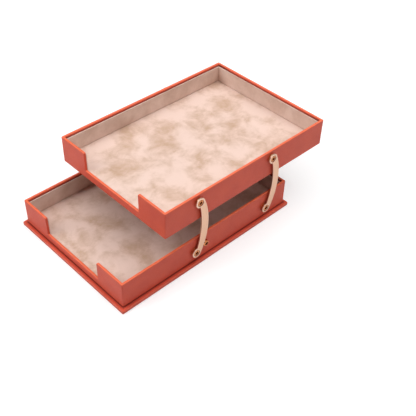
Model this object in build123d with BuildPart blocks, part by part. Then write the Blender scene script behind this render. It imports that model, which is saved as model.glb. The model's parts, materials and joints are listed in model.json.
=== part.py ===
from build123d import *

import os
from math import acos, atan2, cos, degrees, radians, sin, sqrt

# A pair of document trays. The upper tray rides on four swinging links, two on each long side,
# and swings forward and down until it lies on the lower tray's rim.
# Origin: middle of the underside, on the desk. -Y is the front with the cut-outs, +Z is up.

# Trays
tray_width = 230.0
tray_depth = 324.0
wall_height = 43.6
board_thickness = 2.0
leather_thickness = 1.0
lining_thickness = 2.0
lining_drop = 4.4
lining_setback = 1.6
base_thickness = 8.6
floor_lining_thickness = 3.0
rail_lip = 0.3
cutout_width = 119.5
cutout_round = 1.6
edge_round = 0.8

# Plinth under the lower tray
plinth_overhang = 5.5
plinth_board_thickness = 4.4
plinth_round = 1.4
felt_thickness = 0.8
felt_inset = 2.0

# Sheet under the upper tray
underside_thickness = 1.2

# Links and where they are hung
link_length = 92.0
link_thickness = 2.6
link_width = 12.6
link_neck_width = 10.0
link_bow = 18.3
link_neck_round = 1.5
link_edge_round = 0.5
eye_diameter = 15.9
lean_angle = 3.1
front_pivot_setback = 131.3
rear_pivot_inset = 47.2
lower_pivot_height = 18.5
upper_pivot_height = 33.0
closed_clearance = 0.3

# Pivot screws, spacers and threaded inserts
spacer_diameter = 12.0
spacer_thickness = 2.2
shoulder_diameter = 7.0
head_diameter = 9.4
head_height = 1.4
head_seat_depth = 1.7
head_round = 1.1
socket_width = 5.0
socket_depth = 1.6
thread_diameter = 4.0
thread_end_gap = 0.4
insert_diameter = 7.0
running_clearance = 0.05
side_clearance = 0.1
head_clearance = 1.2
thread_clearance = 0.05

# Stop pegs behind the front links
peg_diameter = 10.2
peg_round = 2.0
peg_proud = 0.5
stop_reach = 8.7
stop_clearance = 0.2

cut_overrun = 1.0

# Outlines worked out from the sizes above
core_width = tray_width - 2 * leather_thickness
core_depth = tray_depth - 2 * leather_thickness
clear_width = core_width - 2 * board_thickness
clear_depth = core_depth - 2 * board_thickness
room_width = clear_width - 2 * leather_thickness
room_depth = clear_depth - 2 * leather_thickness
plinth_width = tray_width + 2 * plinth_overhang
plinth_depth = tray_depth + 2 * plinth_overhang
floor_height = base_thickness + floor_lining_thickness
rail_height = floor_height + rail_lip
board_height = wall_height - leather_thickness
insert_length = board_thickness + leather_thickness
thread_length = leather_thickness + insert_length - thread_end_gap

# Where the links hang at rest, leaning back past upright, and how far they swing to close
lean = radians(lean_angle)
lower_foot = felt_thickness + plinth_board_thickness + leather_thickness
lower_rim = lower_foot + wall_height
pivot_z = lower_foot + lower_pivot_height
front_pivot_y = front_pivot_setback - tray_depth / 2
rear_pivot_y = tray_depth / 2 - rear_pivot_inset
upper_bottom = pivot_z + link_length * cos(lean) - upper_pivot_height
upper_foot = upper_bottom + underside_thickness
tray_gap = upper_bottom - lower_rim
closed_lean = acos(cos(lean) - tray_gap / link_length)
tray_shift = link_length * (sin(lean) + sin(closed_lean))
closing_angle = degrees(lean + acos(cos(lean) - (tray_gap - closed_clearance) / link_length))

lower_pivots = [(front_pivot_y, pivot_z), (rear_pivot_y, pivot_z)]
upper_pivots = [(y + link_length * sin(lean), z + link_length * cos(lean)) for y, z in lower_pivots]

# Across the side: wall, spacer, link and screw head, one outside the other
wall_face = tray_width / 2
link_inner = wall_face + spacer_thickness + side_clearance
link_outer = link_inner + link_thickness
head_seat = link_outer - head_seat_depth + side_clearance

# A link's back edge is one arc that runs off both eyes. Its front edge is a flatter one,
# so the bar is widest in the middle and narrows to a neck at each eye.
half_length = link_length / 2
eye_radius = eye_diameter / 2
back_rise = link_bow - eye_radius
arc_reach = (half_length**2 - back_rise**2) / (2 * back_rise)
back_radius = arc_reach + link_bow
half_sweep = degrees(atan2(half_length, arc_reach))
neck_reach = back_radius - link_neck_width
neck_x = neck_reach * cos(radians(half_sweep)) - arc_reach
neck_y = neck_reach * sin(radians(half_sweep))

# A stop peg touches the back edge of its link, a little above the lower eye
peg_along = stop_reach - half_length
peg_back = sqrt((back_radius + stop_clearance + peg_diameter / 2) ** 2 - peg_along**2) - arc_reach
peg_y = front_pivot_y + (half_length + peg_along) * sin(lean) + peg_back * cos(lean)
peg_z = pivot_z + (half_length + peg_along) * cos(lean) - peg_back * sin(lean)

os.makedirs("parts", exist_ok=True)


def keep(piece, label):
    """Names a finished piece and writes it."""
    piece.part.label = label
    export_step(piece.part, f"parts/{label}.step")


def side_plane(side, reach, place):
    """A plane square to X at a distance from the middle, looking outwards on the left (-1) or right (1)."""
    y, z = place
    return Plane((side * reach, y, z), x_dir=(0, 1, 0), z_dir=(side, 0, 0))


def cutout_profile(shift, foot, growth):
    """The U cut-out in a tray's front, drawn on the front face and widened by a growth all round."""
    low = rail_height - growth
    front_face = Plane((0, shift - tray_depth / 2 - cut_overrun, foot), x_dir=(1, 0, 0), z_dir=(0, -1, 0))
    with BuildSketch(front_face) as profile:
        with Locations((0, (low + wall_height + cut_overrun) / 2)):
            Rectangle(cutout_width + 2 * growth, wall_height + cut_overrun - low)
        fillet(profile.vertices().group_by(Axis.Y)[0], cutout_round + growth)
    return profile.sketch


def make_tray(name, foot, shift, pegs, pivots):
    """The boards, leather and lining of one tray."""
    floor = Plane((0, shift, foot))
    front_cut = -(leather_thickness * 2 + board_thickness + 2 * cut_overrun)
    fixings = pivots + pegs

    with BuildPart() as base:
        with BuildSketch(floor):
            Rectangle(clear_width, clear_depth)
        extrude(amount=base_thickness)
    keep(base, f"{name}_base_board")

    for side, word in ((-1, "left"), (1, "right")):
        with BuildPart() as wall:
            with BuildSketch(floor):
                with Locations((side * (clear_width + board_thickness) / 2, 0)):
                    Rectangle(board_thickness, core_depth)
            extrude(amount=board_height)
            with Locations([side_plane(side, core_width / 2, place) for place in fixings]):
                Hole(insert_diameter / 2, board_thickness)
        keep(wall, f"{name}_{word}_wall")

    with BuildPart() as back:
        with BuildSketch(floor):
            with Locations((0, (clear_depth + board_thickness) / 2)):
                Rectangle(clear_width, board_thickness)
        extrude(amount=board_height)
    keep(back, f"{name}_back_wall")

    with BuildPart() as front:
        with BuildSketch(floor):
            with Locations((0, -(clear_depth + board_thickness) / 2)):
                Rectangle(clear_width, board_thickness)
        extrude(amount=board_height)
        extrude(cutout_profile(shift, foot, leather_thickness), amount=front_cut, mode=Mode.SUBTRACT)
    keep(front, f"{name}_front_wall")

    # The leather goes up the outside, over the rim and down the inside to the base board
    with BuildPart() as boards:
        with BuildSketch(floor):
            Rectangle(core_width, core_depth)
            Rectangle(clear_width, clear_depth, mode=Mode.SUBTRACT)
        extrude(amount=board_height)
        extrude(cutout_profile(shift, foot, leather_thickness), amount=front_cut, mode=Mode.SUBTRACT)
        with BuildSketch(floor):
            Rectangle(clear_width, clear_depth)
        extrude(amount=base_thickness)

    with BuildPart() as leather:
        with BuildSketch(floor):
            Rectangle(tray_width, tray_depth)
            Rectangle(room_width, room_depth, mode=Mode.SUBTRACT)
        extrude(amount=wall_height)
        extrude(cutout_profile(shift, foot, 0), amount=front_cut, mode=Mode.SUBTRACT)
        low_edges = leather.edges().group_by(Axis.Z)[0]
        inner_corners = leather.edges().filter_by(Axis.Z).filter_by(
            lambda edge: abs(edge.center().X) < clear_width / 2
            and abs(edge.center().X) > cutout_width / 2 + lining_setback
        )
        cut_corners = leather.edges().filter_by(Axis.Y).filter_by(
            lambda edge: edge.center().Z < foot + rail_height + 2 * cutout_round and edge.length < tray_depth / 2
        )
        fillet(leather.edges() - low_edges - inner_corners - cut_corners, edge_round)
        add(boards.part, mode=Mode.SUBTRACT)
        for side in (-1, 1):
            with Locations([side_plane(side, wall_face, place) for place in fixings]):
                Hole(thread_diameter / 2 + thread_clearance, leather_thickness)
            with Locations([side_plane(side, clear_width / 2, place) for place in fixings]):
                Hole(insert_diameter / 2, leather_thickness)
    keep(leather, f"{name}_leather")

    with BuildPart() as floor_lining:
        with BuildSketch(floor.offset(base_thickness)):
            Rectangle(room_width, room_depth)
        extrude(amount=floor_lining_thickness)
    keep(floor_lining, f"{name}_floor_lining")

    # Lining panels stand on the floor lining. They end below the rim and a little back from the cut-out
    panel_height = wall_height - lining_drop - floor_height
    panel_floor = floor.offset(floor_height)
    for side, word in ((-1, "left"), (1, "right")):
        with BuildPart() as panel:
            with BuildSketch(panel_floor):
                with Locations((side * (room_width - lining_thickness) / 2, 0)):
                    Rectangle(lining_thickness, room_depth)
            extrude(amount=panel_height)
        keep(panel, f"{name}_{word}_lining")

        stub_inner = cutout_width / 2 + lining_setback
        stub_outer = room_width / 2 - lining_thickness
        with BuildPart() as stub_panel:
            with BuildSketch(panel_floor):
                with Locations((side * (stub_inner + stub_outer) / 2, -(room_depth - lining_thickness) / 2)):
                    Rectangle(stub_outer - stub_inner, lining_thickness)
            extrude(amount=panel_height)
        keep(stub_panel, f"{name}_front_{word}_lining")

    with BuildPart() as back_panel:
        with BuildSketch(panel_floor):
            with Locations((0, (room_depth - lining_thickness) / 2)):
                Rectangle(room_width - 2 * lining_thickness, lining_thickness)
        extrude(amount=panel_height)
    keep(back_panel, f"{name}_back_lining")


def make_fixings(name, pivots):
    """The screws, spacers and inserts that carry the links on one tray."""
    places = [(side, place) for place in pivots for side in (-1, 1)]

    with BuildPart() as screws:
        for side, place in places:
            with BuildSketch(side_plane(side, head_seat, place)):
                Circle(head_diameter / 2)
            extrude(amount=head_height)
        fillet(screws.edges().filter_by(GeomType.CIRCLE).filter_by(
            lambda edge: abs(edge.center().X) > head_seat + head_height / 2), head_round)
        for side, place in places:
            with BuildSketch(side_plane(side, head_seat + head_height, place)):
                RegularPolygon(socket_width / 2, 6, major_radius=False)
            extrude(amount=-socket_depth, mode=Mode.SUBTRACT)
            with BuildSketch(side_plane(side, wall_face, place)):
                Circle(shoulder_diameter / 2)
            extrude(amount=head_seat - wall_face)
            with BuildSketch(side_plane(side, wall_face, place)):
                Circle(thread_diameter / 2)
            extrude(amount=-thread_length)
    keep(screws, f"{name}_pivot_screws")

    with BuildPart() as spacers:
        for side, place in places:
            with BuildSketch(side_plane(side, wall_face, place)):
                Circle(spacer_diameter / 2)
                Circle(shoulder_diameter / 2 + running_clearance, mode=Mode.SUBTRACT)
            extrude(amount=spacer_thickness)
    keep(spacers, f"{name}_link_spacers")


def make_inserts(name, fixings):
    """Threaded inserts in a tray's side boards, one behind each screw or peg."""
    with BuildPart() as inserts:
        for side in (-1, 1):
            for place in fixings:
                with BuildSketch(side_plane(side, core_width / 2, place)):
                    Circle(insert_diameter / 2)
                    Circle(thread_diameter / 2 + thread_clearance, mode=Mode.SUBTRACT)
                extrude(amount=-insert_length)
    keep(inserts, f"{name}_threaded_inserts")


# Plinth: a felt sheet, a board and the leather over the board's top and edges
with BuildPart() as felt:
    with BuildSketch():
        Rectangle(plinth_width - 2 * felt_inset, plinth_depth - 2 * felt_inset)
    extrude(amount=felt_thickness)
keep(felt, "plinth_felt")

with BuildPart() as plinth_board:
    with BuildSketch(Plane.XY.offset(felt_thickness)):
        Rectangle(plinth_width - 2 * leather_thickness, plinth_depth - 2 * leather_thickness)
    extrude(amount=plinth_board_thickness)
keep(plinth_board, "plinth_board")

with BuildPart() as plinth_leather:
    with BuildSketch(Plane.XY.offset(felt_thickness)):
        Rectangle(plinth_width, plinth_depth)
    extrude(amount=plinth_board_thickness + leather_thickness)
    fillet(plinth_leather.edges() - plinth_leather.edges().group_by(Axis.Z)[0], plinth_round)
    add(plinth_board.part, mode=Mode.SUBTRACT)
keep(plinth_leather, "plinth_leather")

# Lower tray, with the stop pegs in its side walls
make_tray("lower", lower_foot, 0, [(peg_y, peg_z)], lower_pivots)
make_fixings("lower", lower_pivots)
make_inserts("lower", lower_pivots + [(peg_y, peg_z)])

with BuildPart() as pegs:
    for side in (-1, 1):
        with BuildSketch(side_plane(side, wall_face, (peg_y, peg_z))):
            Circle(peg_diameter / 2)
        extrude(amount=link_outer + peg_proud - wall_face)
    fillet(pegs.edges().filter_by(lambda edge: abs(edge.center().X) > link_inner), peg_round)
    for side in (-1, 1):
        with BuildSketch(side_plane(side, link_outer + peg_proud, (peg_y, peg_z))):
            RegularPolygon(socket_width / 2, 6, major_radius=False)
        extrude(amount=-socket_depth, mode=Mode.SUBTRACT)
        with BuildSketch(side_plane(side, wall_face, (peg_y, peg_z))):
            Circle(thread_diameter / 2)
        extrude(amount=-thread_length)
keep(pegs, "stop_pegs")

# Upper tray, closed underneath by a suede-covered sheet
with BuildPart() as underside:
    with BuildSketch(Plane((0, tray_shift, upper_bottom))):
        Rectangle(tray_width, tray_depth)
    extrude(amount=underside_thickness)
    fillet(underside.edges() - underside.edges().group_by(Axis.Z)[-1], edge_round)
keep(underside, "upper_underside")

make_tray("upper", upper_foot, tray_shift, [], upper_pivots)
make_fixings("upper", upper_pivots)
make_inserts("upper", upper_pivots)

# Links: flat bars bowed towards the back, with an eye at each end that takes a screw head
for side, side_word in ((-1, "left"), (1, "right")):
    for pivot, end_word in zip(lower_pivots, ("front", "rear")):
        middle_y = pivot[0] + half_length * sin(lean)
        middle_z = pivot[1] + half_length * cos(lean)
        across = (0, cos(lean), -sin(lean))
        inner_plane = Plane((side * link_inner, middle_y, middle_z), x_dir=across, z_dir=(side, 0, 0))
        eyes = [(0, -half_length), (0, half_length)]
        with BuildPart() as link:
            with BuildSketch(inner_plane) as outline:
                with BuildLine():
                    back_edge = CenterArc((-arc_reach, 0), back_radius, -half_sweep, 2 * half_sweep)
                    front_edge = ThreePointArc((neck_x, -neck_y), (link_bow - link_width, 0), (neck_x, neck_y))
                    Line(back_edge @ 0, front_edge @ 0)
                    Line(back_edge @ 1, front_edge @ 1)
                make_face()
                with Locations(eyes):
                    Circle(eye_radius)
                fillet(outline.vertices().sort_by(Axis.X)[:2], link_neck_round)
            extrude(amount=link_thickness)
            rims = [edge for face in link.faces().filter_by(Axis.X) for edge in face.edges()]
            fillet(rims, link_edge_round)
            with Locations(inner_plane.offset(link_thickness)):
                with Locations(eyes):
                    CounterBoreHole(
                        shoulder_diameter / 2 + running_clearance,
                        head_diameter / 2 + head_clearance,
                        head_seat_depth,
                        link_thickness,
                    )
        keep(link, f"{side_word}_{end_word}_link")

print(f"closing angle {closing_angle:.4f} degrees, tray shift {tray_shift:.4f}, tray gap {tray_gap:.4f}")
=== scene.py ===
import json
from math import cos, radians, sin

import bmesh
import bpy
from mathutils import Matrix, Vector, noise


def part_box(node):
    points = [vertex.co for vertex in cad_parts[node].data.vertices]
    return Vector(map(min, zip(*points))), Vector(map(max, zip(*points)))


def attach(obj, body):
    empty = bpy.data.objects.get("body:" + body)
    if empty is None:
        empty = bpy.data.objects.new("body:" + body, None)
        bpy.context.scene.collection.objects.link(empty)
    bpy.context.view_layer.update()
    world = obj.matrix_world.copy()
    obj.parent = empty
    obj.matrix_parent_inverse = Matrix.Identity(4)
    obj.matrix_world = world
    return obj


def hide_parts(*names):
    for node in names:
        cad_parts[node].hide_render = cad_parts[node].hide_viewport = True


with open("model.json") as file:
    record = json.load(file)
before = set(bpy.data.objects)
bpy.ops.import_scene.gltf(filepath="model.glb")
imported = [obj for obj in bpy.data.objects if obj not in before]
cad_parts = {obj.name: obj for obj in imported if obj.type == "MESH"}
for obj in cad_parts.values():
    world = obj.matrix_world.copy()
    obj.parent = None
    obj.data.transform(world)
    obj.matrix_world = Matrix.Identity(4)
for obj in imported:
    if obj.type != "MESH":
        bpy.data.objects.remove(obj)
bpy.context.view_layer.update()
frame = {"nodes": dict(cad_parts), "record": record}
scene = bpy.context.scene
nodes = frame["nodes"]
openings = {opening["name"]: opening["box_m"] for opening in frame["record"]["physics"]["openings"]}
mm = 0.001  # sizes below are in millimetres, the scene is in metres
hair = 0.01 * mm  # places closer than this count as the same
openingClearance = 0.1 * mm  # an opening's box stops this far from the walls


# Helpers for materials

def linear(hexColour):
    srgb = [int(hexColour[start:start + 2], 16) / 255 for start in (1, 3, 5)]
    return [c / 12.92 if c <= 0.04045 else ((c + 0.055) / 1.055) ** 2.4 for c in srgb] + [1]


def perMetre(sizeMm):  # texture scale that gives features of this size
    return 1 / (sizeMm * mm)


def addNode(tree, kind, settings=None, values=None, links=None):
    made = tree.nodes.new("ShaderNode" + kind)
    for name, value in (settings or {}).items():
        setattr(made, name, value)
    for socket, value in (values or {}).items():
        made.inputs[socket].default_value = value
    for socket, source in (links or {}).items():
        tree.links.new(source, made.inputs[socket])
    return made


def newMaterial(name, constants):
    material = bpy.data.materials.new(name)
    material.use_nodes = True
    shader = material.node_tree.nodes["Principled BSDF"]
    for socket, value in constants.items():
        shader.inputs[socket].default_value = value
    return material, material.node_tree, shader


# Helpers for meshes

def cutAcross(bm, point, normal):  # new edges where a plane crosses the mesh
    everything = bm.verts[:] + bm.edges[:] + bm.faces[:]
    bmesh.ops.bisect_plane(bm, geom=everything, plane_co=point, plane_no=normal, dist=1e-7)


def pushOut(bm, faces, move):  # extrudes faces as one region, leaves nothing behind and returns the moved ones
    grown = bmesh.ops.extrude_face_region(bm, geom=faces)["geom"]
    bmesh.ops.delete(bm, geom=[face for face in faces if face.is_valid], context="FACES")
    bmesh.ops.translate(bm, vec=move, verts=[part for part in grown if isinstance(part, bmesh.types.BMVert)])
    return [part for part in grown if isinstance(part, bmesh.types.BMFace)]


def roundOff(bm, edges, radius, segments):
    bmesh.ops.bevel(bm, geom=edges, offset=radius, offset_type="OFFSET", affect="EDGES", segments=segments,
                    profile=0.5, material=-1, clamp_overlap=False)


def sharpEdges(bm, least=40):
    return [edge for edge in bm.edges if len(edge.link_faces) == 2 and edge.calc_face_angle() > radians(least)]


def runsAlong(edge, axis, least=0.999):
    return abs((edge.verts[0].co - edge.verts[1].co).normalized()[axis]) > least


def fitBox(bm, low, high):  # stretches a unit shape about the origin into a box
    bmesh.ops.scale(bm, vec=high - low, verts=bm.verts)
    bmesh.ops.translate(bm, vec=(low + high) / 2, verts=bm.verts)


def addPiece(name, bm, material, slotName, body, *stoodFor):
    mesh = bpy.data.meshes.new(name)
    bm.to_mesh(mesh)
    bm.free()
    mesh.shade_smooth()
    mesh.materials.append(material)
    piece = bpy.data.objects.new(name, mesh)
    scene.collection.objects.link(piece)
    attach(piece, body)
    if stoodFor:
        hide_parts(*stoodFor)
    return piece


def giveThickness(piece, thicknessMm, even):  # grows inwards from the faces
    sheet = piece.modifiers.new("thickness", "SOLIDIFY")
    sheet.thickness = thicknessMm * mm
    sheet.offset = -1
    sheet.use_even_offset = even


def keepFlatsFlat(piece):  # the rounded edges take the shading, the faces between them stay even
    piece.modifiers.new("even faces", "WEIGHTED_NORMAL").keep_sharp = False


# Leather: the two tray covers and the plinth's cover

leatherLook = {
    "colour": "#E0563A",
    "shade": "#D54D35",
    "toneMm": 32,
    "toneSpread": (0.3, 0.7),
    "paintedTopLight": "#F3734A",  # painted top light: tops and upturned edges made lighter and more orange, as if lit from above
    "paintedTopLightShare": 0.8,
    "paintedTopLightFrom": 0.1,       # least upward lean of a face that gets the painted top light
    "creaseShadeColour": "#6E1A0F",  # painted shade: darker where pieces meet, where shade falls in the crease
    "creaseShadeDepth": 0.85,
    "creaseShadeMm": 2.8,      # how far the painted crease shade fades out
    "grainMm": 1.7,       # the real grain is about 0.8 mm wide, drawn coarser so that it shows
    "grainDepthMm": 0.1,
    "grainSoftness": 0.35,
    "grainEdge": 0.7,     # distance from the middle of a pebble, in grains, where it is dullest
    "roughness": (0.44, 0.58),
}


def makeLeather():
    # Bonded leather, embossed with a fine pebble grain and sealed matte: even colour and broad dull highlights
    look = leatherLook
    material, tree, shader = newMaterial("embossed_matte_leather", {"IOR": 1.5})
    place = addNode(tree, "TexCoord").outputs["Object"]
    tone = addNode(tree, "TexNoise", values={"Scale": perMetre(look["toneMm"]), "Detail": 4},
                   links={"Vector": place})
    dark, pale = look["toneSpread"]
    spread = addNode(tree, "MapRange", values={"From Min": dark, "From Max": pale},
                     links={"Value": tone.outputs[0]})
    dyed = addNode(tree, "Mix", {"data_type": "RGBA"}, {6: linear(look["shade"]), 7: linear(look["colour"])},
                   {0: spread.outputs[0]})
    # painted top light: where the leather looks up it is mixed towards a lighter, more orange colour
    painted_top_light = addNode(tree, "Attribute", {"attribute_name": "painted_top_light"})
    paintedTopLightShare = addNode(tree, "Math", {"operation": "MULTIPLY"}, {1: look["paintedTopLightShare"]}, {0: painted_top_light.outputs["Fac"]})
    paintedLitColour = addNode(tree, "Mix", {"data_type": "RGBA"}, {7: linear(look["paintedTopLight"])},
                   {0: paintedTopLightShare.outputs[0], 6: dyed.outputs[2]})
    # painted crease shade: darkened towards a deep red where another piece meets the leather
    painted_crease_shade = addNode(tree, "Attribute", {"attribute_name": "painted_crease_shade"})
    creaseShadeShare = addNode(tree, "Math", {"operation": "MULTIPLY"}, {1: look["creaseShadeDepth"]},
                    {0: painted_crease_shade.outputs["Fac"]})
    colour = addNode(tree, "Mix", {"data_type": "RGBA"}, {7: linear(look["creaseShadeColour"])},
                     {0: creaseShadeShare.outputs[0], 6: paintedLitColour.outputs[2]})
    pebbles = addNode(tree, "TexVoronoi", {"feature": "SMOOTH_F1"},
                      {"Scale": perMetre(look["grainMm"]), "Smoothness": look["grainSoftness"]},
                      {"Vector": place})
    polished, dull = look["roughness"]
    gloss = addNode(tree, "MapRange", values={"From Max": look["grainEdge"], "To Min": polished, "To Max": dull},
                    links={"Value": pebbles.outputs["Distance"]})
    grain = addNode(tree, "Bump", {"invert": True}, {"Strength": 1, "Distance": look["grainDepthMm"] * mm},
                    {"Height": pebbles.outputs["Distance"]})
    tree.links.new(colour.outputs[2], shader.inputs["Base Color"])
    tree.links.new(gloss.outputs[0], shader.inputs["Roughness"])
    tree.links.new(grain.outputs[0], shader.inputs["Normal"])
    return material


leather = makeLeather()


def markPaintedTopLight(bm, tops):  # painted top light: a value on the leather that looks up, with or without the flat tops; without them it peaks on the rounded edges, a painted highlight
    bm.normal_update()
    painted_top_light = bm.loops.layers.float.new("painted_top_light")
    for face in bm.faces:
        if face.normal.z > leatherLook["paintedTopLightFrom"]:
            for loop in face.loops:
                upward = max(0.0, loop.vert.normal.z)
                loop[painted_top_light] = upward if tops else 1 - abs(2 * upward - 1)


def markPaintedCreaseShade(bm, distance):  # painted crease shade: a value that fades out away from where another piece meets the leather
    painted_crease_shade = bm.loops.layers.float.new("painted_crease_shade")
    reach = leatherLook["creaseShadeMm"] * mm
    for face in bm.faces:
        for loop in face.loops:
            loop[painted_crease_shade] = max(0.0, 1 - max(0.0, distance(loop.vert.co)) / reach)


coverShape = {
    "cornerRound": 1.7,   # upright corners of the walls
    "cutoutRound": 1.6,   # inner corners of the cut-out
    "stubRound": 1.8,     # free top corners beside the cut-out
    "edgeRound": 0.9,
    "footRound": {"lower": 1.4, "upper": 0.9},
    "hide": 0.8,          # thickness of the leather
    "turnIn": {"lower": 1.5, "upper": 14},   # how far it is folded in under the walls
    "footLift": {"lower": 0, "upper": 0.4},  # height of the fold above the lowest face
    "segments": 4,
}
farAway = 1  # a distance past the reach of any crease


def makeCover(tray, body, *stoodFor):
    shape = coverShape
    low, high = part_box(f"{tray}_leather")
    roomLow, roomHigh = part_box(f"{tray}_floor_lining")  # the room inside the leather
    cutLow, cutHigh = (Vector(corner) for corner in openings[f"{tray}_front_cutout"])
    cutout = cutHigh.x + openingClearance
    rail = cutLow.z - openingClearance
    foot = min(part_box(node)[0].z for node in stoodFor) + shape["footLift"][tray] * mm

    def inRoom(face):
        middle = face.calc_center_median()
        return roomLow.x < middle.x < roomHigh.x and roomLow.y < middle.y < roomHigh.y

    def onRail(face):
        middle = face.calc_center_median()
        return abs(middle.x) < cutout and middle.y < roomLow.y

    # plan of the walls, raised to the rail and then, all but the rail, to the rim
    bm = bmesh.new()
    bmesh.ops.create_grid(bm, x_segments=1, y_segments=1, size=0.5)
    fitBox(bm, Vector((low.x, low.y, foot)), Vector((high.x, high.y, foot)))
    for x in (roomLow.x, -cutout, cutout, roomHigh.x):
        cutAcross(bm, (x, 0, 0), (1, 0, 0))
    for y in (roomLow.y, roomHigh.y):
        cutAcross(bm, (0, y, 0), (0, 1, 0))
    bmesh.ops.delete(bm, geom=[face for face in bm.faces if inRoom(face)], context="FACES")
    tops = pushOut(bm, bm.faces[:], (0, 0, rail - foot))
    pushOut(bm, [face for face in tops if not onRail(face)], (0, 0, high.z - rail))

    # outside, the leather is folded in under the walls; inside, it ends on the base board
    footEdges = [edge for edge in bm.edges if edge.is_boundary]
    outside = [edge for edge in footEdges
               if not all(roomLow.x - mm < vert.co.x < roomHigh.x + mm
                          and roomLow.y - mm < vert.co.y < roomHigh.y + mm for vert in edge.verts)]
    inside = {vert for edge in footEdges if edge not in outside for vert in edge.verts}
    bmesh.ops.translate(bm, vec=(0, 0, roomLow.z - foot), verts=list(inside))
    folded = [part for part in bmesh.ops.extrude_edge_only(bm, edges=outside)["geom"]
              if isinstance(part, bmesh.types.BMVert)]
    turnIn = 2 * shape["turnIn"][tray] * mm
    middle = (low + high) / 2
    bmesh.ops.scale(bm, vec=(1 - turnIn / (high.x - low.x), 1 - turnIn / (high.y - low.y), 1), verts=folded,
                    space=Matrix.Translation(-middle))
    bmesh.ops.recalc_face_normals(bm, faces=bm.faces)

    # rounded corners first, then every edge that is still sharp
    def cornerEdges():
        return [edge for edge in sharpEdges(bm) if runsAlong(edge, 2)
                and all(abs(vert.co.x) > roomHigh.x + mm for vert in edge.verts)
                and all(not roomLow.y - mm < vert.co.y < roomHigh.y + mm for vert in edge.verts)]

    def cutoutEdges(height):
        return [edge for edge in sharpEdges(bm) if runsAlong(edge, 1)
                and all(abs(vert.co.z - height) < hair and vert.co.y < roomLow.y + hair
                        and abs(abs(vert.co.x) - cutout) < hair for vert in edge.verts)]

    roundOff(bm, cornerEdges(), shape["cornerRound"] * mm, shape["segments"])
    roundOff(bm, cutoutEdges(rail), shape["cutoutRound"] * mm, shape["segments"])
    roundOff(bm, cutoutEdges(high.z), shape["stubRound"] * mm, shape["segments"])
    inner = [edge for edge in sharpEdges(bm) if runsAlong(edge, 2)
             and all(cutout + mm < abs(vert.co.x) < roomHigh.x + hair for vert in edge.verts)]
    roundOff(bm, [edge for edge in sharpEdges(bm) if edge not in inner and edge.verts[0].co.z > foot + mm],
             shape["edgeRound"] * mm, shape["segments"])
    feet = [edge for edge in sharpEdges(bm) if all(vert.co.z < foot + hair for vert in edge.verts)]
    roundOff(bm, feet, shape["footRound"][tray] * mm, shape["segments"])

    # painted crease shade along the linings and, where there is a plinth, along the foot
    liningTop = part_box(f"{tray}_left_lining")[1].z
    hasPlinth = tray == "lower"
    for height in (liningTop, foot) if hasPlinth else (liningTop,):
        for step in (0, leatherLook["creaseShadeMm"] * mm):
            cutAcross(bm, (0, 0, height + step), (0, 0, 1))

    def creaseDistance(place):
        sides = ((place.x, roomLow.x, roomHigh.x), (place.y, roomLow.y, roomHigh.y))
        if all(start - hair < value < end + hair for value, start, end in sides):
            return place.z - liningTop
        return place.z - foot if hasPlinth else farAway

    markPaintedCreaseShade(bm, creaseDistance)
    markPaintedTopLight(bm, tops=True)
    piece = addPiece(f"{tray}_leather_cover", bm, leather, "leather", body, *stoodFor)
    giveThickness(piece, shape["hide"], even=True)
    keepFlatsFlat(piece)


makeCover("lower", "lower_tray", "lower_leather")
makeCover("upper", "upper_tray", "upper_leather", "upper_underside")

plinthShape = {
    "cornerRound": 1.4,
    "topRound": 1.1,
    "footRound": 0.8,
    "hide": 0.4,
    "footLift": 0.4,  # the fold under the board clears the desk by this
    "segments": 4,
}


def makePlinthCover():
    shape = plinthShape
    low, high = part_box("plinth_leather")
    low.z = shape["footLift"] * mm
    bm = bmesh.new()
    bmesh.ops.create_cube(bm, size=1)
    fitBox(bm, low, high)
    upright = [edge for edge in bm.edges if runsAlong(edge, 2)]
    roundOff(bm, upright, shape["cornerRound"] * mm, shape["segments"])
    for height, radius in ((high.z, shape["topRound"]), (low.z, shape["footRound"])):
        ends = [edge for edge in sharpEdges(bm) if all(abs(vert.co.z - height) < hair for vert in edge.verts)]
        roundOff(bm, ends, radius * mm, shape["segments"])

    # underneath, a narrow fold is left round the felt
    under = min(bm.faces, key=lambda face: face.calc_center_median().z)
    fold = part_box("plinth_felt")[0].x - low.x - shape["footRound"] * mm
    bmesh.ops.inset_region(bm, faces=[under], thickness=fold)
    bmesh.ops.delete(bm, geom=[under], context="FACES")

    # painted crease shade round the foot of the tray
    trayLow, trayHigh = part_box("lower_leather")
    reach = leatherLook["creaseShadeMm"] * mm
    for x in (trayLow.x - reach, trayLow.x, trayHigh.x, trayHigh.x + reach):
        cutAcross(bm, (x, 0, 0), (1, 0, 0))
    for y in (trayLow.y - reach, trayLow.y, trayHigh.y, trayHigh.y + reach):
        cutAcross(bm, (0, y, 0), (0, 1, 0))

    def creaseDistance(place):
        if place.z < high.z - hair:
            return farAway
        return max(abs(place.x) - trayHigh.x, abs(place.y) - trayHigh.y)

    markPaintedCreaseShade(bm, creaseDistance)
    markPaintedTopLight(bm, tops=False)
    piece = addPiece("plinth_leather_cover", bm, leather, "leather", "lower_tray", "plinth_leather")
    giveThickness(piece, shape["hide"], even=False)
    keepFlatsFlat(piece)


makePlinthCover()
print("leather covers made")


# Suede: the floors, the lining panels and the sheet under the upper tray

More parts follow.
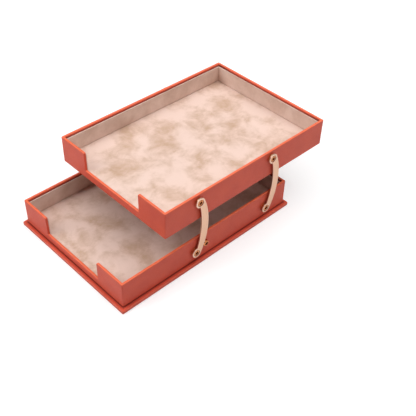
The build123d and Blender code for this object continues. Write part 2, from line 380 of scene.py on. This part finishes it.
suedeLook = {
    "floor": {"pale": "#E8CDC0", "tan": "#C5A38B", "nap": (0.3, 0.6), "wisps": 0.16},
    "wall": {"pale": "#E6CDC0", "tan": "#CFB0A0", "nap": (0.3, 0.7), "wisps": 0.08},
    "underside": {"pale": "#A24A34", "tan": "#8E3F2C", "nap": (0.3, 0.7), "wisps": 0.08},
}
napShape = {
    "patchMm": 33,        # areas brushed one way or the other
    "patchShiftMm": 315,  # moves the patches to where they look best on the floors
    "wispMm": (5, 17),    # width and length of the strokes
    "wispTurn": -40,
    "swirlMm": 30,        # how far it is from one turn of the strokes to the next
    "swirlReachMm": 22,
    "fibreMm": 0.9,       # real fibres are far finer, drawn coarser so that they show
    "fibreTone": 0.14,
    "fibreDepthMm": 0.12,
    "sheen": "#F3E3DA",
}


def makeSuede(name, look):
    # Split leather sanded to a nap: no gloss, pale where the fibres lie flat and tan where they were brushed up
    nap = napShape
    material, tree, shader = newMaterial(name, {
        "IOR": 1.45, "Roughness": 0.95, "Specular IOR Level": 0.15,
        "Sheen Weight": 0.2, "Sheen Roughness": 0.5, "Sheen Tint": linear(nap["sheen"])})
    place = addNode(tree, "TexCoord").outputs["Object"]
    shifted = addNode(tree, "Mapping", values={"Location": (0, 0, nap["patchShiftMm"] * mm)},
                      links={"Vector": place})
    patches = addNode(tree, "TexNoise", values={
        "Scale": perMetre(nap["patchMm"]), "Detail": 4, "Roughness": 0.55, "Distortion": 0.3},
        links={"Vector": shifted.outputs[0]})
    # the strokes follow a slow swirl, as a hand leaves them
    swirl = addNode(tree, "TexNoise", values={"Scale": perMetre(nap["swirlMm"]), "Detail": 0},
                    links={"Vector": place})
    push = addNode(tree, "VectorMath", {"operation": "MULTIPLY_ADD"},
                   {1: [2 * nap["swirlReachMm"] * mm] * 3}, {0: swirl.outputs["Color"], 2: place})
    width, length = nap["wispMm"]
    drawnOut = addNode(tree, "Mapping", values={
        "Rotation": (0, 0, radians(nap["wispTurn"])),
        "Scale": (perMetre(width), perMetre(length), perMetre(width))}, links={"Vector": push.outputs[0]})
    wisps = addNode(tree, "TexNoise", values={"Scale": 1, "Detail": 3, "Roughness": 0.6},
                    links={"Vector": drawnOut.outputs[0]})
    brushed = addNode(tree, "Mix", {"data_type": "FLOAT"}, {0: look["wisps"]},
                      {2: patches.outputs[0], 3: wisps.outputs[0]})
    fibres = addNode(tree, "TexNoise", values={"Scale": perMetre(nap["fibreMm"]), "Detail": 4, "Roughness": 0.7},
                     links={"Vector": place})
    fuzzy = addNode(tree, "Mix", {"data_type": "FLOAT"}, {0: nap["fibreTone"]},
                    {2: brushed.outputs[0], 3: fibres.outputs[0]})
    spread = addNode(tree, "MapRange", {"interpolation_type": "SMOOTHSTEP"},
                     {"From Min": look["nap"][0], "From Max": look["nap"][1]}, {"Value": fuzzy.outputs[0]})
    colour = addNode(tree, "Mix", {"data_type": "RGBA"}, {6: linear(look["tan"]), 7: linear(look["pale"])},
                     {0: spread.outputs[0]})
    fuzz = addNode(tree, "Bump", values={"Strength": 0.6, "Distance": nap["fibreDepthMm"] * mm},
                   links={"Height": fibres.outputs[0]})
    tree.links.new(colour.outputs[2], shader.inputs["Base Color"])
    tree.links.new(fuzz.outputs[0], shader.inputs["Normal"])
    return material


suedes = {"floor": makeSuede("brushed_suede", suedeLook["floor"]),
          "wall": makeSuede("flat_laid_suede", suedeLook["wall"]),
          "underside": makeSuede("rust_suede", suedeLook["underside"])}

panelShape = {
    "cell": 9,            # spacing of the mesh on the suede faces
    "sink": 0.16,         # how much the hand-laid suede dips
    "sinkSpread": 42,
    "edgeRound": {"floor": 0.9, "wall": 0.4},
    "footRound": 1.7,     # lower edge of a wall panel, rolled in where it stands on the floor
    "segments": 3,
}


def makePanel(tray, body, part):
    shape = panelShape
    low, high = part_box(f"{tray}_{part}")
    size = high - low
    thin = min(range(3), key=lambda axis: size[axis])
    bm = bmesh.new()
    bmesh.ops.create_cube(bm, size=1)
    fitBox(bm, low, high)
    kind = "floor" if part == "floor_lining" else "wall"
    if kind == "wall":
        roomLow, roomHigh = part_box(f"{tray}_floor_lining")
        inner = min(low[thin], high[thin], key=lambda place: abs(place - (roomLow[thin] + roomHigh[thin]) / 2))
        foot = [edge for edge in bm.edges
                if all(vert.co.z < low.z + hair and abs(vert.co[thin] - inner) < hair for vert in edge.verts)]
        roundOff(bm, foot, shape["footRound"] * mm, shape["segments"])
    roundOff(bm, sharpEdges(bm), shape["edgeRound"][kind] * mm, shape["segments"])
    for axis in [axis for axis in range(3) if axis != thin]:
        normal = Vector((0, 0, 0))
        normal[axis] = 1
        count = round(size[axis] / (shape["cell"] * mm))
        for step in range(1, count):
            cutAcross(bm, low + normal * (step * size[axis] / count), normal)
    middle = (low[thin] + high[thin]) / 2
    for vert in bm.verts:
        wave = noise.noise(vert.co / (shape["sinkSpread"] * mm))  # from -1 to 1
        dip = shape["sink"] * mm * (1 + wave) / 2
        vert.co[thin] += dip if vert.co[thin] < middle else -dip
    bmesh.ops.recalc_face_normals(bm, faces=bm.faces)
    keepFlatsFlat(addPiece(f"{tray}_{part}_suede", bm, suedes[kind], "suede_lining", body, f"{tray}_{part}"))


for tray in ("lower", "upper"):
    for part in ("floor", "left", "right", "back", "front_left", "front_right"):
        makePanel(tray, f"{tray}_tray", f"{part}_lining")

undersideShape = {
    "margin": 5,  # the leather's fold frames the sheet
    "edgeRound": 0.35,
    "segments": 3,
}


def makeUnderside():
    shape = undersideShape
    low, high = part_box("upper_underside")
    margin = Vector((shape["margin"], shape["margin"], 0)) * mm
    bm = bmesh.new()
    bmesh.ops.create_cube(bm, size=1)
    fitBox(bm, low + margin, high - margin)
    roundOff(bm, bm.edges[:], shape["edgeRound"] * mm, shape["segments"])
    keepFlatsFlat(addPiece("upper_underside_sheet", bm, suedes["underside"], "underside_suede", "upper_tray",
                           "upper_underside"))


makeUnderside()
print("suede floors, linings and underside made")


# Felt under the plinth

feltLook = {"colour": "#3B3634", "fleck": "#57504C", "fibreMm": 1.2, "fibreDepthMm": 0.15}
feltShape = {"edgeRound": 0.25, "segments": 2}


def makeFelt():
    # Pressed wool felt: dull and dark, with short tangled fibres of two tones
    look = feltLook
    material, tree, shader = newMaterial("pressed_felt", {"Roughness": 1, "Specular IOR Level": 0.1,
                                                          "Sheen Weight": 0.3, "Sheen Roughness": 0.6})
    place = addNode(tree, "TexCoord").outputs["Object"]
    fibres = addNode(tree, "TexNoise", values={
        "Scale": perMetre(look["fibreMm"]), "Detail": 5, "Roughness": 0.75, "Distortion": 1.5},
        links={"Vector": place})
    colour = addNode(tree, "Mix", {"data_type": "RGBA"}, {6: linear(look["colour"]), 7: linear(look["fleck"])},
                     {0: fibres.outputs[0]})
    fuzz = addNode(tree, "Bump", values={"Strength": 0.8, "Distance": look["fibreDepthMm"] * mm},
                   links={"Height": fibres.outputs[0]})
    tree.links.new(colour.outputs[2], shader.inputs["Base Color"])
    tree.links.new(fuzz.outputs[0], shader.inputs["Normal"])

    low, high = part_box("plinth_felt")
    bm = bmesh.new()
    bmesh.ops.create_cube(bm, size=1)
    fitBox(bm, low, high)
    roundOff(bm, bm.edges[:], feltShape["edgeRound"] * mm, feltShape["segments"])
    sheet = addPiece("plinth_felt_sheet", bm, material, "felt", "lower_tray", "plinth_felt")
    keepFlatsFlat(sheet)


makeFelt()
print("felt made")


# Metal and board: the nodes whose shape is right keep it and get their finish

linkLook = {
    "colour": "#DAB397",
    "streak": "#D0A68B",
    "streakMm": (0.5, 30),  # width and length of a brush line, drawn ten times as wide so that it shows
    "streakDepthMm": 0.01,
    "roughness": (0.24, 0.38),
    "edge": "#FBEADC",      # painted highlight: the edges made paler than the flats, as if they caught the light
    "edgeMm": 1.3,
    "edgeLean": 0.85,       # cosine of the lean where the painted highlight is full
}


def makeLinkMetal():
    # Steel, brushed lengthwise and plated rose gold: pale pink, with a soft glow drawn out along the bar
    look = linkLook
    material, tree, shader = newMaterial("brushed_rose_gold_plate", {"Metallic": 1})
    place = addNode(tree, "TexCoord").outputs["Object"]
    width, length = look["streakMm"]
    along = addNode(tree, "Mapping", values={"Scale": (perMetre(width), perMetre(width), perMetre(length))},
                    links={"Vector": place})
    streaks = addNode(tree, "TexNoise", values={"Scale": 1, "Detail": 3}, links={"Vector": along.outputs[0]})
    flats = addNode(tree, "Mix", {"data_type": "RGBA"}, {6: linear(look["streak"]), 7: linear(look["colour"])},
                    {0: streaks.outputs[0]})
    # painted highlight along the edges: an edge is where the surface, if it were rounded off, would lean away
    # from the real one
    rounded = addNode(tree, "Bevel", {"samples": 6}, {"Radius": look["edgeMm"] * mm})
    real = addNode(tree, "NewGeometry").outputs["Normal"]
    lean = addNode(tree, "VectorMath", {"operation": "DOT_PRODUCT"}, links={0: rounded.outputs[0], 1: real})
    paintedEdgeHighlight = addNode(tree, "MapRange", values={"From Min": 1, "From Max": look["edgeLean"]},
                     links={"Value": lean.outputs["Value"]})
    colour = addNode(tree, "Mix", {"data_type": "RGBA"}, {7: linear(look["edge"])},
                     {0: paintedEdgeHighlight.outputs[0], 6: flats.outputs[2]})
    gloss = addNode(tree, "MapRange", values={"To Min": look["roughness"][0], "To Max": look["roughness"][1]},
                    links={"Value": streaks.outputs[0]})
    lines = addNode(tree, "Bump", values={"Strength": 0.5, "Distance": look["streakDepthMm"] * mm},
                    links={"Height": streaks.outputs[0]})
    tree.links.new(colour.outputs[2], shader.inputs["Base Color"])
    tree.links.new(gloss.outputs[0], shader.inputs["Roughness"])
    tree.links.new(lines.outputs[0], shader.inputs["Normal"])
    return material


turnedLook = {
    "polished_copper_plate": {"colour": "#D08A5A", "stain": "#B06A40", "roughness": (0.12, 0.24)},
    "turned_brass": {"colour": "#CDA660", "stain": "#B48C48", "roughness": (0.25, 0.4)},
}
# stains are the metal's own; the hollow colour is painted shade
turnedStainsAndShade = {"stainMm": 4, "hollowShade": "#150E0B", "hollowShadeMm": 3, "open": (0.35, 0.75)}


def makeTurnedMetal(name):
    # Screws and washers, turned and then polished: clear highlights, a little dulled by handling
    look = turnedLook[name]
    material, tree, shader = newMaterial(name, {"Metallic": 1})
    place = addNode(tree, "TexCoord").outputs["Object"]
    stains = addNode(tree, "TexNoise", values={"Scale": perMetre(turnedStainsAndShade["stainMm"]), "Detail": 3},
                     links={"Vector": place})
    clean = addNode(tree, "Mix", {"data_type": "RGBA"}, {6: linear(look["stain"]), 7: linear(look["colour"])},
                    {0: stains.outputs[0]})
    # painted shade: the piece's own hollows, such as the sockets, are darkened by its ambient occlusion
    hollows = addNode(tree, "AmbientOcclusion", {"only_local": True, "samples": 8},
                      {"Distance": turnedStainsAndShade["hollowShadeMm"] * mm})
    shut, opened = turnedStainsAndShade["open"]
    outside = addNode(tree, "MapRange", values={"From Min": shut, "From Max": opened},
                      links={"Value": hollows.outputs["AO"]})
    colour = addNode(tree, "Mix", {"data_type": "RGBA"}, {6: linear(turnedStainsAndShade["hollowShade"])},
                     {0: outside.outputs[0], 7: clean.outputs[2]})
    gloss = addNode(tree, "MapRange", values={"To Min": look["roughness"][1], "To Max": look["roughness"][0]},
                    links={"Value": stains.outputs[0]})
    tree.links.new(colour.outputs[2], shader.inputs["Base Color"])
    tree.links.new(gloss.outputs[0], shader.inputs["Roughness"])
    return material


boardLook = {"colour": "#B08D66", "fleck": "#8E6E4C", "fleckMm": 1.5}


def makeBoard():
    # Medium-density fibreboard, sanded: matt brown with short fibre flecks
    look = boardLook
    material, tree, shader = newMaterial("sanded_fibreboard", {"Roughness": 0.85, "Specular IOR Level": 0.3})
    place = addNode(tree, "TexCoord").outputs["Object"]
    flecks = addNode(tree, "TexNoise", values={
        "Scale": perMetre(look["fleckMm"]), "Detail": 4, "Roughness": 0.7}, links={"Vector": place})
    colour = addNode(tree, "Mix", {"data_type": "RGBA"}, {6: linear(look["fleck"]), 7: linear(look["colour"])},
                     {0: flecks.outputs[0]})
    tree.links.new(colour.outputs[2], shader.inputs["Base Color"])
    return material


finishes = {
    "link_metal": makeLinkMetal(),
    "copper_hardware": makeTurnedMetal("polished_copper_plate"),
    "brass_hardware": makeTurnedMetal("turned_brass"),
    "board": makeBoard(),
    "leather": leather,
    "suede_lining": suedes["wall"],
    "underside_suede": suedes["underside"],
    "felt": bpy.data.materials["pressed_felt"],
}
for subpart in frame["record"]["subparts"]:
    mesh = nodes[subpart["node"]].data
    mesh.materials.clear()
    mesh.materials.append(finishes[subpart["material_slot"]])


# Stage, light and camera

stageLook = {  # lengths here and in the lamps are in metres
    "floorSize": 8,
    "floorColour": "#CFCFCF",
    "floorLift": (0.52, 1),    # glow under the object and far from it, where the lamps no longer reach
    "floorReach": (0.6, 1.8),  # distances where it starts to rise and where it is full
    "ambient": 0.08,
    "overhead": 0.1,           # how bright the room above is in a reflection, next to the white walls round it
    "wallTop": 0.45,           # sine of the angle above the horizon where that is reached
}


def seenDirectly(tree):  # 1 on rays that show the stage itself, in the picture or in a reflection
    path = addNode(tree, "LightPath").outputs
    either = addNode(tree, "Math", {"operation": "MAXIMUM"},
                     links={0: path["Is Camera Ray"], 1: path["Is Glossy Ray"]})
    return addNode(tree, "Math", {"operation": "MAXIMUM"},
                   links={0: either.outputs[0], 1: path["Is Transmission Ray"]}).outputs[0]


def makeStage():
    look = stageLook
    material, tree, shader = newMaterial("studio_floor", {
        "Base Color": linear(look["floorColour"]), "Roughness": 0.9, "Specular IOR Level": 0,
        "Emission Color": (1, 1, 1, 1)})
    place = addNode(tree, "TexCoord").outputs["Object"]
    away = addNode(tree, "VectorMath", {"operation": "LENGTH"}, links={0: place})
    (near, far), (low, full) = look["floorReach"], look["floorLift"]
    glow = addNode(tree, "MapRange", {"interpolation_type": "SMOOTHSTEP"},
                   {"From Min": near, "From Max": far, "To Min": low, "To Max": full},
                   {"Value": away.outputs["Value"]})
    lift = addNode(tree, "Math", {"operation": "MULTIPLY"}, links={0: glow.outputs[0], 1: seenDirectly(tree)})
    tree.links.new(lift.outputs[0], shader.inputs["Emission Strength"])
    bm = bmesh.new()
    bmesh.ops.create_grid(bm, x_segments=1, y_segments=1, size=look["floorSize"] / 2)
    mesh = bpy.data.meshes.new("floor")
    bm.to_mesh(mesh)
    bm.free()
    mesh.materials.append(material)
    floor = bpy.data.objects.new("floor", mesh)
    scene.collection.objects.link(floor)

    world = bpy.data.worlds.new("studio")
    world.use_nodes = True
    tree = world.node_tree
    direction = addNode(tree, "TexCoord").outputs["Generated"]
    upwards = addNode(tree, "SeparateXYZ", links={0: direction}).outputs["Z"]
    room = addNode(tree, "MapRange", {"interpolation_type": "SMOOTHSTEP"},
                   {"From Max": look["wallTop"], "To Min": 1, "To Max": look["overhead"]}, {"Value": upwards})
    strength = addNode(tree, "Mix", {"data_type": "FLOAT"}, {2: look["ambient"]},
                       {0: seenDirectly(tree), 3: room.outputs[0]})
    background = tree.nodes["Background"]
    background.inputs["Color"].default_value = (1, 1, 1, 1)
    tree.links.new(strength.outputs[0], background.inputs["Strength"])
    scene.world = world


lamps = {
    "overhead": {"place": (0, 0, 1.5), "size": 1.3, "watts": 9.5},
    "back": {"place": (0.1, 0.95, 1.25), "size": 1, "watts": 8},
    "front_left": {"place": (-0.7, -1.05, 1.2), "size": 1.1, "watts": 15.6},
    "right": {"place": (1.1, 0.15, 1.3), "size": 1.1, "watts": 6.5},
}
lampAim = Vector((0, 0.03, 0.06))  # about the middle of the object


def makeLamps():
    for name, lamp in lamps.items():
        data = bpy.data.lights.new(name, "AREA")
        data.size = lamp["size"]
        data.energy = lamp["watts"]
        light = bpy.data.objects.new(name, data)
        light.location = lamp["place"]
        light.rotation_euler = (lampAim - light.location).to_track_quat("-Z", "Y").to_euler()
        scene.collection.objects.link(light)


cameraView = {
    "azimuth": 44.67,     # degrees round from the front towards the right
    "elevation": 41.65,
    "roll": 2.18,
    "away": 1107.39,      # millimetres from the origin along the line of sight
    "across": 77.25,
    "up": 10.08,
    "focalPixels": 709.37,
    "imagePixels": 416,
    "sensor": 36,
}


def makeCamera():
    view = cameraView
    turn, rise, roll = (radians(view[key]) for key in ("azimuth", "elevation", "roll"))
    back = Vector((sin(turn) * cos(rise), -cos(turn) * cos(rise), sin(rise)))
    right = Vector((cos(turn), sin(turn), 0))
    upright = back.cross(right)
    right, upright = right * cos(roll) + upright * sin(roll), upright * cos(roll) - right * sin(roll)
    data = bpy.data.cameras.new("camera")
    data.sensor_width = view["sensor"]
    data.lens = view["sensor"] * view["focalPixels"] / view["imagePixels"]
    camera = bpy.data.objects.new("camera", data)
    place = (right * view["across"] + upright * view["up"] + back * view["away"]) * mm
    camera.matrix_world = Matrix.Translation(place) @ Matrix((right, upright, back)).transposed().to_4x4()
    scene.collection.objects.link(camera)
    scene.camera = camera


makeStage()
makeLamps()
makeCamera()
scene.view_settings.view_transform = "Standard"
print("stage, lamps and camera made")
